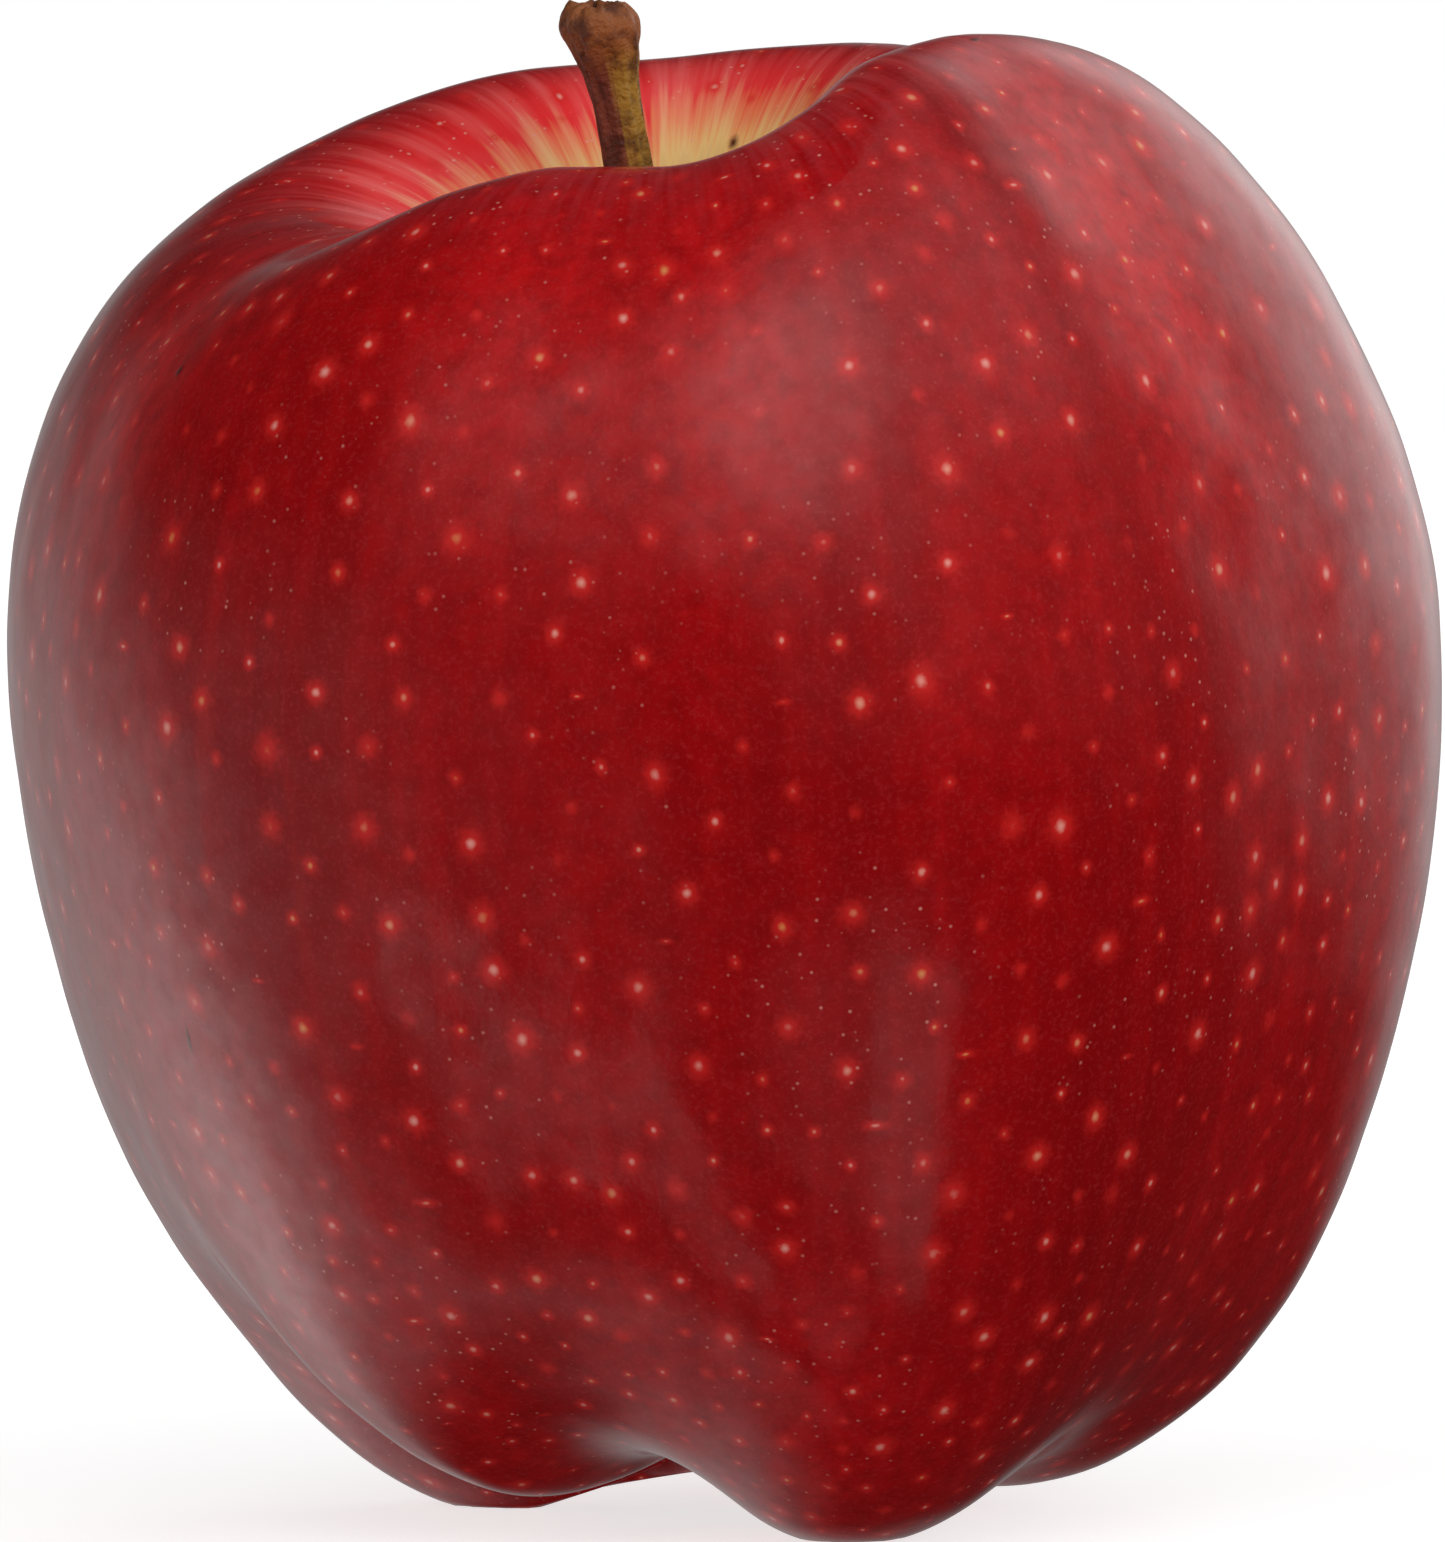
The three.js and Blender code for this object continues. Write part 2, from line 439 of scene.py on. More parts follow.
        def mix(size: np.ndarray, lobes: list[np.ndarray]) -> np.ndarray:
            """Mixes a size of the lobe before with that of the lobe after, by its share."""
            return size[lobes[0]] * (1 - lobes[2]) + size[lobes[1]] * lobes[2]

        hollow = np.sin(math.pi * fraction) ** 2
        groove = np.sin(math.pi * fraction ** skew[low[0]]) ** 2
        furrow = valley[low[0]] * groove**self.furrow_sharpness * tips**self.furrow_fade
        reach = (
            radius
            + side * (mix(rib, low) - self.cheek * hollow)
            - self.furrow_in * furrow * np.minimum(radius / self.tip_radius, 1.0)
            + mix(spread, high) * crest * np.minimum(radius / self.crest_radius, 1.0)
        )
        lift = level - tips * mix(drop, low) + self.furrow_up * furrow + crest * mix(rise, high)
        angle = np.radians(azimuth)
        upright = np.stack(
            [
                reach * np.cos(angle) + cavity * self.cavity_shift,
                reach * np.sin(angle) * self.depth_share,
                lift,
            ],
            axis=-1,
        )
        return upright @ self.lean().T

    def lean(self) -> np.ndarray:
        """Returns the rotation of the fruit's axis as it rests on three of its lobes."""
        about_x = Matrix.Rotation(math.radians(self.tilt_x), 3, "X")
        return np.array(about_x @ Matrix.Rotation(math.radians(self.tilt_y), 3, "Y"))

    def even_stages(self, count: int) -> np.ndarray:
        """Spreads stages at equal steps along the half section.

        Args:
            count: Number of stages.

        Returns:
            Stages between the eye and the floor, without the two poles.
        """
        fine = np.linspace(Stage.EYE, Stage.FLOOR, self.samples)
        radius, level = self.section(fine)
        steps = np.hypot(np.diff(radius), np.diff(level))
        along = np.concatenate([[0.0], np.cumsum(steps)])
        wanted = np.linspace(0.0, along[-1], count + 2)[1:-1]
        return np.interp(wanted, along, fine)


# ---- Finishes -----------------------------------------------------------------------------

HEALED = 2.0  # tone of a scar, beyond those of the breathing dots, which end at 1


@dataclass(frozen=True)
class WaxedSkin:
    """Red apple skin with its natural wax, rubbed to a soft gloss.

    The eye sees a deep, mottled crimson, darker in some patches and brightened by painted light in
    others on the front, with a painted highlight of pale pink streaks round the crest, pale breathing
    dots that each sit in a brighter red ring, and a soft, slightly uneven shine.
    """

    crimson: str = "a6070c"
    scarlet: str = "d21418"
    maroon: str = "820509"
    # pale pink of the painted highlight round the crest
    bloom: str = "c23a3e"
    painted_crest_highlight: str = "cc5058"
    dot_cream: str = "ee9a8e"
    dot_tan: str = "e08a50"
    dot_ring: str = "e02824"
    cavity_red: str = "ee2c30"
    cavity_pink: str = "f4a49c"
    cavity_orange: str = "f08a58"
    cavity_straw: str = "eec878"
    cavity_green: str = "a8a052"
    basin_green: str = "a3a052"
    scar: str = "4a1a14"
    rubbed_roughness: float = 0.09
    dull_roughness: float = 0.16
    worn_shine: float = 0.36
    full_shine: float = 0.56
    wax_ior: float = 1.45
    rubbing_mm: float = 5.0
    wear_mm: float = 1.8
    grain_mm: float = 0.3
    mottle_mm: float = 1.4
    speck_mm: float = 0.9
    cloud_mm: float = 11.0
    dot_edge_mm: float = 0.35
    ring_reach: float = 5.2
    core_reach: float = 1.3
    dot_relief: float = 0.03
    mottle_relief: float = 0.03
    grain_relief: float = 0.006

    def build(self) -> bpy.types.Material:
        """Makes the skin's material.

        Returns:
            The material.
        """
        material, tree = new_material("waxed_red_apple_skin")
        add = partial(add_node, tree)
        colour, relief = self.dress(add)
        place = add("TexCoord").outputs["Object"]
        rubbing, wear = (
            add("TexNoise", {"Vector": place, "Scale": 1 / (size * MM), "Detail": detail})
            for size, detail in ((self.rubbing_mm, 3.0), (self.wear_mm, 4.0))
        )
        roughness = add(
            "MapRange",
            {0: rubbing, 1: 0.3, 2: 0.7, 3: self.rubbed_roughness, 4: self.dull_roughness},
        )
        shine = add("MapRange", {0: wear, 1: 0.3, 2: 0.65, 3: self.worn_shine, 4: self.full_shine})
        bump = add("Bump", {"Height": relief, "Distance": 1 * MM, "Strength": 0.5})
        shader = add(
            "BsdfPrincipled",
            {
                "Base Color": colour,
                "Roughness": roughness,
                "Specular IOR Level": shine,
                "IOR": self.wax_ior,
                "Normal": bump,
            },
        )
        add("OutputMaterial", {"Surface": shader})
        return material

    def dress(self, add: partial) -> tuple[bpy.types.NodeSocket, bpy.types.NodeSocket]:
        """Lays the colours over one another.

        Args:
            add: Adds a node to the skin's tree.

        Returns:
            The colour, and the relief in millimetres.
        """
        place = add("TexCoord").outputs["Object"]
        growth = add("Attribute", attribute_name="growth").outputs["Vector"]
        stage = add("Attribute", attribute_name="stage").outputs["Fac"]
        # Sun: the skin's tone; its brighter patches on the front are painted light.
        sun = add("Attribute", attribute_name="sun").outputs["Fac"]
        patches = drawn_out_noise(add, growth, (3.2, 3.2, 1.5), 3.0)
        streaks = drawn_out_noise(add, growth, (16.0, 16.0, 1.2), 4.0)
        hairs = drawn_out_noise(add, growth, (46.0, 46.0, 3.0), 3.0)
        grain, mottle = (
            add(
                "TexNoise",
                {"Vector": place, "Scale": 1 / (size * MM), "Detail": detail, "Roughness": rough},
            )
            for size, detail, rough in ((self.grain_mm, 2.0, 0.7), (self.mottle_mm, 3.0, 0.6))
        )

        def waver(
            level: bpy.types.Node | bpy.types.NodeSocket, pattern: bpy.types.Node, push: float
        ) -> bpy.types.Node:
            """Moves a stage to and fro with a pattern, so that colours end in rays."""
            swing = add("Math", {0: pattern, 1: -0.5}, operation="ADD")
            return add("Math", {0: swing, 1: push, 2: level}, operation="MULTIPLY_ADD")

        # The ground colour: maroon to scarlet along the sun layer, whose brighter patches on the
        # front are painted light, broken up by patches, streaks and mottle.
        ground = paint_ramp(
            add("ValToRGB", {0: sun}), (0.0, self.maroon), (0.5, self.crimson), (1.0, self.scarlet)
        )
        ground = tint(add, ground, patches, (0.4, 0.66), 0.62, self.maroon)
        ground = tint(add, ground, streaks, (0.45, 0.7), 0.28, self.scarlet)
        ground = tint(add, ground, mottle, (0.4, 0.7), 0.55, self.maroon)
        ground = tint(add, ground, grain, (0.5, 0.8), 0.28, self.bloom)

        # Painted highlight: pale pink streaks round the crest, standing for the light that the waxed
        # crest reflects.
        high = add("MapRange", {0: stage, 1: 2.68, 2: 3.05}, interpolation_type="SMOOTHSTEP")
        painted_crest_highlight = add("MapRange", {0: hairs, 1: 0.3, 2: 0.8, 3: 0.0, 4: 0.4})
        painted_crest_highlight = add("Math", {0: painted_crest_highlight, 1: high}, operation="MULTIPLY")
        ground = add("MixRGB", {0: painted_crest_highlight, 1: ground, 2: to_linear(self.painted_crest_highlight)})

        # The cavity: red at the crest, then orange, straw and green, drawn into rays.
        lean = add("VectorMath", {0: growth, 1: (0.045, 0.025, 0.0)}, operation="DOT_PRODUCT")
        leaning_stage = add("Math", {0: lean.outputs["Value"], 1: stage}, operation="ADD")
        ray_stage = waver(waver(leaning_stage, streaks, 0.26), hairs, 0.2)
        rim_stage = waver(stage, streaks, 0.12)
        depth = add("MapRange", {0: ray_stage, 1: Stage.CREST, 2: Stage.FLOOR})
        ramp = paint_ramp(
            add("ValToRGB", {0: depth}),
            (0.0, self.scarlet),
            (0.1, self.cavity_red),
            (0.2, self.cavity_red),
            (0.29, self.cavity_orange),
            (0.37, self.cavity_straw),
            (0.6, self.cavity_green),
        )
        pale = add("MapRange", {0: streaks, 1: 0.4, 2: 0.72, 3: 0.05, 4: 0.6})
        pale = add("Math", {0: pale, 1: hairs}, operation="MULTIPLY")
        inside = add("MixRGB", {0: pale, 1: ramp, 2: to_linear(self.cavity_pink)})
        in_cavity = add("MapRange", {0: rim_stage, 1: 2.9, 2: 3.2}, interpolation_type="SMOOTHSTEP")
        ground = add("MixRGB", {0: in_cavity, 1: ground, 2: inside})
        in_basin = add("MapRange", {0: ray_stage, 1: 0.75, 2: 0.25}, interpolation_type="SMOOTHSTEP")
        ground = add("MixRGB", {0: in_basin, 1: ground, 2: to_linear(self.basin_green)})

        colour, dot = self.add_dots(add, place, ground)
        colour = self.add_specks(add, place, high, colour)
        relief = add("Math", {0: dot, 1: self.dot_relief}, operation="MULTIPLY")
        for pattern, height in ((mottle, self.mottle_relief), (grain, self.grain_relief)):
            relief = add("Math", {0: pattern, 1: height, 2: relief}, operation="MULTIPLY_ADD")
        return colour.outputs[0], relief.outputs[0]

    def add_dots(
        self, add: partial, place: bpy.types.NodeSocket, ground: bpy.types.Node
    ) -> tuple[bpy.types.Node, bpy.types.Node]:
        """Draws each breathing dot round its own centre.

        Args:
            add: Adds a node to the skin's tree.
            place: Object coordinates.
            ground: The colour so far.

        Returns:
            The colour with dots, and how far a point is inside a dot.
        """
        centre = add("Attribute", attribute_name="dot_centre").outputs["Vector"]
        shape = add("Attribute", attribute_name="dot_shape").outputs["Vector"]
        grain = add("Attribute", attribute_name="grain").outputs["Vector"]
        size = add("SeparateXYZ", {0: shape})
        away = add("VectorMath", {0: place, 1: centre}, operation="SUBTRACT")
        along = add("VectorMath", {0: away, 1: grain}, operation="DOT_PRODUCT").outputs["Value"]
        whole = add("VectorMath", {0: away, 1: away}, operation="DOT_PRODUCT").outputs["Value"]
        along_square = add("Math", {0: along, 1: along}, operation="MULTIPLY")
        across_square = add("Math", {0: whole, 1: along_square}, operation="SUBTRACT")
        drawn_out = add("Math", {0: size.outputs[1], 1: 2.0}, operation="POWER")
        along_share = add("Math", {0: along_square, 1: drawn_out}, operation="DIVIDE")
        square = add("Math", {0: across_square, 1: along_share}, operation="ADD")
        distance = add("Math", {0: square, 1: 0.5}, operation="POWER")
        radius = add("Math", {0: size.outputs[0], 1: MM}, operation="MULTIPLY")
        ratio = add("Math", {0: distance, 1: radius}, operation="DIVIDE")
        rough_edge = add(
            "TexNoise", {"Vector": place, "Scale": 1 / (self.dot_edge_mm * MM), "Detail": 1.0}
        )
        ragged = add("MapRange", {0: rough_edge, 1: 0.3, 2: 0.7, 3: 0.88, 4: 1.14})
        ratio = add("Math", {0: ratio, 1: ragged}, operation="MULTIPLY")
        ring, core = (
            add(
                "MapRange",
                {0: ratio, 1: reach, 2: full, 3: 0.0, 4: most},
                interpolation_type="SMOOTHSTEP",
            )
            for reach, full, most in ((self.ring_reach, 0.4, 0.85), (self.core_reach, 0.0, 1.0))
        )
        ring = add("Math", {0: ring, 1: 2.0}, operation="POWER")
        healed = add("Math", {0: size.outputs[2], 1: 0.75 * HEALED}, operation="GREATER_THAN")
        sound = add("Math", {0: 1.0, 1: healed}, operation="SUBTRACT")
        ring = add("Math", {0: ring, 1: sound}, operation="MULTIPLY")
        ringed = add("MixRGB", {0: ring, 1: ground, 2: to_linear(self.dot_ring)})
        cream, tan = to_linear(self.dot_cream), to_linear(self.dot_tan)
        tone = add("MixRGB", {0: size.outputs[2], 1: cream, 2: tan})
        tone = add("MixRGB", {0: healed, 1: tone, 2: to_linear(self.scar)})
        dotted = add("MixRGB", {0: core, 1: ringed, 2: tone})
        return dotted, core

    def add_specks(
        self,
        add: partial,
        place: bpy.types.NodeSocket,
        high: bpy.types.Node,
        colour: bpy.types.Node,
    ) -> bpy.types.Node:
        """Adds clouds of tiny whitish specks, densest round the crest.

        Args:
            add: Adds a node to the skin's tree.
            place: Object coordinates.
            high: How near a point is to the crest.
            colour: The colour so far.

        Returns:
            The colour with specks.
        """
        cells = add("TexVoronoi", {"Vector": place, "Scale": 1 / (self.speck_mm * MM)})
        speck = add("MapRange", {0: cells, 1: 0.15, 2: 0.05, 3: 0.0, 4: 1.0})
        clouds = add("TexNoise", {"Vector": place, "Scale": 1 / (self.cloud_mm * MM), "Detail": 2.0})
        cloud = add("MapRange", {0: clouds, 1: 0.46, 2: 0.66, 3: 0.0, 4: 0.6})
        cloud = add("Math", {0: high, 1: 0.45, 2: cloud}, operation="MULTIPLY_ADD")
        share = add("Math", {0: speck, 1: cloud}, operation="MULTIPLY", use_clamp=True)
        return add("MixRGB", {0: share, 1: colour, 2: to_linear(self.dot_cream)})


@dataclass(frozen=True)
class StalkBark:
    """Dry, corky bark of a fruit stalk.

    The eye sees a green-brown stem with a plum-brown shaded side, lengthwise ridges and a
    lighter, torn, corky top.
    """

    olive: str = "a47a2e"
    plum: str = "7a3a2a"
    cork: str = "94552c"
    pit: str = "451e16"
    roughness: float = 0.62
    ior: float = 1.45
    pore_mm: float = 0.35
    pit_mm: float = 1.1
    relief_mm: float = 0.25

    def build(self) -> bpy.types.Material:
        """Makes the bark's material.

        Returns:
            The material.
        """
        material, tree = new_material("corky_stalk_bark")
        add = partial(add_node, tree)
        place = add("TexCoord").outputs["Object"]
        growth = add("Attribute", attribute_name="growth").outputs["Vector"]
        parts = add("SeparateXYZ", {0: growth})
        ridges = drawn_out_noise(add, growth, (3.2, 3.2, 2.4), 5.0)
        pores, pits = (
            add("TexNoise", {"Vector": place, "Scale": 1 / (size * MM), "Detail": detail})
            for size, detail in ((self.pore_mm, 2.0), (self.pit_mm, 3.0))
        )
        side = add("Math", {0: ridges, 1: 1.1, 2: parts.outputs[0]}, operation="MULTIPLY_ADD")
        lit = add("MapRange", {0: side, 1: 0.45, 2: 0.95}, interpolation_type="SMOOTHSTEP")
        bark = add("MixRGB", {0: lit, 1: to_linear(self.plum), 2: to_linear(self.olive)})
        top = add("MapRange", {0: parts.outputs[2], 1: 0.8, 2: 0.93}, interpolation_type="SMOOTHSTEP")
        bark = add("MixRGB", {0: top, 1: bark, 2: to_linear(self.cork)})
        bark = tint(add, bark, pits, (0.46, 0.66), 0.75, self.pit)
        height = add("Math", {0: ridges, 1: pores}, operation="ADD")
        bump = add("Bump", {"Height": height, "Distance": self.relief_mm * MM, "Strength": 0.9})
        shader = add(
            "BsdfPrincipled",
            {"Base Color": bark, "Roughness": self.roughness, "IOR": self.ior, "Normal": bump},
        )
        add("OutputMaterial", {"Surface": shader})
        return material


@dataclass(frozen=True)
class DriedLeaf:
    """Dried, downy leaf tissue of the sepals and the stamens.

    The eye sees a dull grey-brown that is darker along its veins, with no gloss.
    """

    name: str = "dried_downy_sepal"
    body: str = "7a6242"
    vein: str = "4a3622"
    down: str = "a8967a"
    roughness: float = 0.9
    ior: float = 1.45
    vein_mm: float = 0.4
    down_mm: float = 0.25
    relief_mm: float = 0.2

    def build(self) -> bpy.types.Material:
        """Makes the dried tissue's material.

        Returns:
            The material.
        """
        material, tree = new_material(self.name)
        add = partial(add_node, tree)
        place = add("TexCoord").outputs["Object"]
        drawn_out = add("VectorMath", {0: place, 1: (1.0, 1.0, 0.25)}, operation="MULTIPLY")
        veins = add(
            "TexNoise", {"Vector": drawn_out, "Scale": 1 / (self.vein_mm * MM), "Detail": 4.0}
        )
        fluff = add("TexNoise", {"Vector": place, "Scale": 1 / (self.down_mm * MM), "Detail": 2.0})
        tissue = tint(add, to_linear(self.body), veins, (0.4, 0.65), 1.0, self.vein)
        tissue = tint(add, tissue, fluff, (0.52, 0.7), 0.6, self.down)
        bump = add("Bump", {"Height": veins, "Distance": self.relief_mm * MM, "Strength": 0.8})
        shader = add(
            "BsdfPrincipled",
            {"Base Color": tissue, "Roughness": self.roughness, "IOR": self.ior, "Normal": bump},
        )
        add("OutputMaterial", {"Surface": shader})
        return material


# ---- The fruit ----------------------------------------------------------------------------


@dataclass(frozen=True)
class SkinAndPaintedLightPatch:
    """A patch of the skin painted brighter or darker. The brighter patches on the front are painted
    light; the darker ones are darker patches of the skin.

    The azimuth and width are in degrees, the stage and height in stages. Push is how much
    brighter the cheek is, or darker if below zero.
    """

    azimuth: float
    stage: float
    width: float
    height: float
    push: float


SKIN_AND_PAINTED_LIGHT_PATCHES = (
    SkinAndPaintedLightPatch(232.0, 2.1, 13.0, 0.4, -0.45),  # darker patch of skin, left of the front
    SkinAndPaintedLightPatch(303.0, 1.6, 13.0, 0.4, -0.4),  # darker patch of skin, low on the right of the front
    SkinAndPaintedLightPatch(262.0, 2.65, 18.0, 0.3, 0.45),  # painted light, high at the front
    SkinAndPaintedLightPatch(326.0, 2.55, 14.0, 0.3, 0.55),  # painted light, front right shoulder
    SkinAndPaintedLightPatch(203.0, 2.7, 14.0, 0.35, 0.6),  # painted light, left shoulder
    SkinAndPaintedLightPatch(278.0, 1.35, 12.0, 0.35, 0.35),  # painted light, front right lobe
    SkinAndPaintedLightPatch(110.0, 2.0, 60.0, 0.8, -0.2),  # darker towards the back
)


@dataclass(frozen=True)
class Scar:
    """A small healed mark, by the place where it grew. Radius in millimetres."""

    azimuth: float
    stage: float
    radius: float
    drawn_out: float


SCARS = (
    Scar(218.3, 1.79, 0.22, 5.0),  # nick, low on the left
    Scar(206.6, 2.57, 0.42, 1.0),  # dark dot on the left shoulder
    Scar(333.0, 2.96, 0.5, 0.6),  # rubbed spot on the front right crest
    Scar(75.0, 3.33, 0.35, 1.8),  # dark spot in the cavity
)


@dataclass(frozen=True)
class DotField:
    """How the breathing dots are spread over the skin, in millimetres.

    Drawing-out is how many times longer than wide a dot is, along the growth.
    """

    seed: int = 11
    tries: int = 14000
    shake: float = 0.15
    base_gap: float = 2.0
    shoulder_gap: float = 4.0
    base_radius: float = 0.19
    shoulder_radius: float = 0.25
    last_stage: float = 3.22
    crest_crowding: float = 0.35
    crest_shrinking: float = 0.25
    flat_chance: float = 0.06
    flat_drawn_out: float = 0.45

    def spread(
        self, points: np.ndarray, stage: np.ndarray, areas: np.ndarray, scars: np.ndarray
    ) -> tuple[np.ndarray, np.ndarray]:
        """Scatters dots, close together near the base and wider apart towards the shoulders.

        Args:
            points: Centres of the skin's faces, in millimetres.
            stage: Stage at each face.
            areas: Area of each face.
            scars: Place of each scar, in millimetres, which the dots keep away from.

        Returns:
            Dot centres in millimetres, and radius, drawing-out and tone of each dot.
        """
        rng = np.random.default_rng(self.seed)
        picks = rng.choice(len(points), self.tries, p=areas / areas.sum())
        shake = rng.normal(0.0, self.shake, (self.tries, 3))
        chance = rng.random((self.tries, 4))
        kept = list(scars)
        shapes = [(scar.radius, scar.drawn_out, HEALED) for scar in SCARS]
        for index, pick in enumerate(picks):
            if stage[pick] > self.last_stage:
                continue
            here = points[pick] + shake[index]
            height = float(smooth(stage[pick], 0.9, 2.5))
            gap = self.base_gap + (self.shoulder_gap - self.base_gap) * height
            crowd = float(smooth(stage[pick], 2.45, 2.8))
            gap *= (0.7 + 0.4 * chance[index, 0]) * (1.0 - self.crest_crowding * crowd)
            if ((np.array(kept) - here) ** 2).sum(axis=1).min() < gap**2:
                continue
            radius = self.base_radius + (self.shoulder_radius - self.base_radius) * height
            radius *= (0.6 + 0.85 * chance[index, 1] ** 2) * (1.0 - self.crest_shrinking * crowd)
            near_end = float(smooth(abs(stage[pick] - Stage.WIDEST), 0.7, 1.3))
            drawn_out = 1.0 + (0.25 + 1.3 * near_end) * chance[index, 2]
            if chance[index, 2] < self.flat_chance:
                drawn_out = self.flat_drawn_out
            kept.append(here)
            shapes.append((radius, drawn_out, float(chance[index, 3] ** 2.5)))
        return np.array(kept), np.array(shapes)


@dataclass
class Fruit:
    """The fruit: one skin from the basin underneath to the cavity on top."""

    form: FruitForm = field(default_factory=FruitForm)
    dots: DotField = field(default_factory=DotField)
    rows: int = 220
    columns: int = 380
    unevenness: float = 0.16
    swell_width: float = 17.0
    ripeness: float = 0.5
    shift: np.ndarray = field(default_factory=lambda: np.zeros(3))

    def place(self, points: np.ndarray) -> np.ndarray:
        """Sets points of the leaning fruit into the frame, in millimetres."""
        return points + self.shift

    def stand(self, points: np.ndarray, root: tuple[float, float, float]) -> np.ndarray:
        """Sets points about a root of the upright fruit into the frame, in metres."""
        return self.place((points + root) @ self.form.lean().T) * MM

    def seat_on_frame(self, points: np.ndarray) -> None:
        """Works out the shift that centres the surface on its CAD node, flush with its top.

        Args:
            points: The surface, in millimetres.
        """
        low, high = (np.array(corner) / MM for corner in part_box("fruit"))
        flat = points.reshape(-1, 3)
        lowest, highest = flat.min(axis=0), flat.max(axis=0)
        self.shift = (low + high - lowest - highest) / 2
        self.shift[2] = high[2] - highest[2]

    def roughen(self, points: np.ndarray, outwards: np.ndarray) -> np.ndarray:
        """Adds the slight unevenness of a grown surface.

        Args:
            points: Places in millimetres.
            outwards: Unit normals.

        Returns:
            The moved places.
        """
        flat = points.reshape(-1, 3)
        swell = np.array([noise.fractal(Vector(p) / self.swell_width, 0.6, 2.0, 3) for p in flat])
        swell = swell.reshape(points.shape[:-1])
        return points + outwards * (swell * self.unevenness)[..., None]

    def build(self, finish: WaxedSkin) -> bpy.types.Object:
        """Makes the fruit and dresses it.

        Args:
            finish: The skin's finish.

        Returns:
            The fruit's object.
        """
        stages = np.concatenate([[Stage.EYE], self.form.even_stages(self.rows), [Stage.FLOOR]])
        azimuths = np.arange(self.columns) / self.columns * FULL_TURN - 90.0
        stage, azimuth = np.meshgrid(stages, azimuths, indexing="ij")
        points = self.form.surface(stage, azimuth)
        self.seat_on_frame(points)
        points = self.place(points)
        meridian = np.gradient(points, axis=0)
        round_way = (np.roll(points, -1, axis=1) - np.roll(points, 1, axis=1)) / 2
        outwards = np.cross(round_way, meridian)
        outwards /= np.linalg.norm(outwards, axis=-1, keepdims=True) + 1e-9
        points = self.roughen(points, outwards)
        points[..., 2] = np.maximum(points[..., 2], 0.0)
        inner = points[1:-1].reshape(-1, 3)
        vertices = np.concatenate([inner, points[:1, 0], points[-1:, 0]]) * MM
        eye, floor = len(inner), len(inner) + 1
        faces = ring_faces(self.rows, self.columns)
        faces += cap_faces(0, eye, self.columns, upwards=False)
        faces += cap_faces(len(inner) - self.columns, floor, self.columns, upwards=True)
        piece = mesh_object("apple_fruit", vertices, faces, finish.build())
        self.mark(piece, stage, azimuth, meridian)
        self.lay_out(piece)
        return piece

    def mark(
        self, piece: bpy.types.Object, stage: np.ndarray, azimuth: np.ndarray, meridian: np.ndarray
    ) -> None:
        """Stores what the skin's finish reads: growth, stage, grain, sun (the skin's tone, with
        painted light) and dots.

        Args:
            piece: The fruit.
            stage: Stage of each grid point.
            azimuth: Azimuth of each grid point.
            meridian: Direction along the meridian at each grid point.
        """
        mesh = piece.data
        grain = meridian / (np.linalg.norm(meridian, axis=-1, keepdims=True) + 1e-9)
        angle = np.radians(azimuth)
        growth = np.stack([np.cos(angle), np.sin(angle), stage], axis=-1)
        # The sun layer: darker patches of skin, and brighter patches of painted light on the front.
        sun = np.full(stage.shape, self.ripeness)
        for patch in SKIN_AND_PAINTED_LIGHT_PATCHES:
            aside = (azimuth - patch.azimuth + 180.0) % FULL_TURN - 180.0
            away = np.hypot(aside / patch.width, (stage - patch.stage) / patch.height)
            sun += patch.push * np.exp(-(away**2))
        sun = np.clip(sun, 0.0, 1.0)

        def on_points(values: np.ndarray) -> np.ndarray:
            """Reorders grid values to the mesh's vertices."""
            inner = values[1:-1].reshape(-1, *values.shape[2:])
            return np.concatenate([inner, values[:1, 0], values[-1:, 0]])

        layers = {"growth": growth, "grain": grain, "stage": stage, "sun": sun}
        for name, values in layers.items():
            add_layer(mesh, name, on_points(values), "POINT")
        centres = np.array([face.center for face in mesh.polygons]) / MM
        areas = np.array([face.area for face in mesh.polygons])
        first_corners = [face.vertices[0] for face in mesh.polygons]
        face_stage = on_points(stage).astype(np.float32)[first_corners]
        marks = np.array([(scar.stage, scar.azimuth) for scar in SCARS]).T
        scars = self.place(self.form.surface(*marks))
        dots, shapes = self.dots.spread(centres, face_stage, areas, scars)
        LOG.info("apple_fruit carries %d breathing dots", len(dots))
        tree = kdtree.KDTree(len(dots))
        for index, dot in enumerate(dots):
            tree.insert(dot, index)
        tree.balance()
        nearest = np.array([tree.find(centre)[1] for centre in centres])
        add_layer(mesh, "dot_centre", dots[nearest] * MM, "FACE")
        add_layer(mesh, "dot_shape", shapes[nearest], "FACE")

    def lay_out(self, piece: bpy.types.Object) -> None:
        """Unrolls the skin round its axis onto one map, eye at the bottom and floor on top.

        Args:
            piece: The fruit.
        """
        levels = [(ring + 1) / (self.rows + 1) for ring in range(self.rows)]
        sides = [(step / self.columns, (step + 1) / self.columns) for step in range(self.columns)]
        places = []
        for low, high in zip(levels, levels[1:]):
            for left, right in sides:
                places += [left, low, right, low, right, high, left, high]
        low, high = levels[0], levels[-1]
        for left, right in sides:
            places += [right, low, left, low, (left + right) / 2, 0.0]
        for left, right in sides:
            places += [left, high, right, high, (left + right) / 2, 1.0]
        layer = piece.data.uv_layers.new(name="OFBake")
        layer.data.foreach_set("uv", np.array(places, dtype=np.float32))


# ---- Stalk, sepals and stamens ------------------------------------------------------------


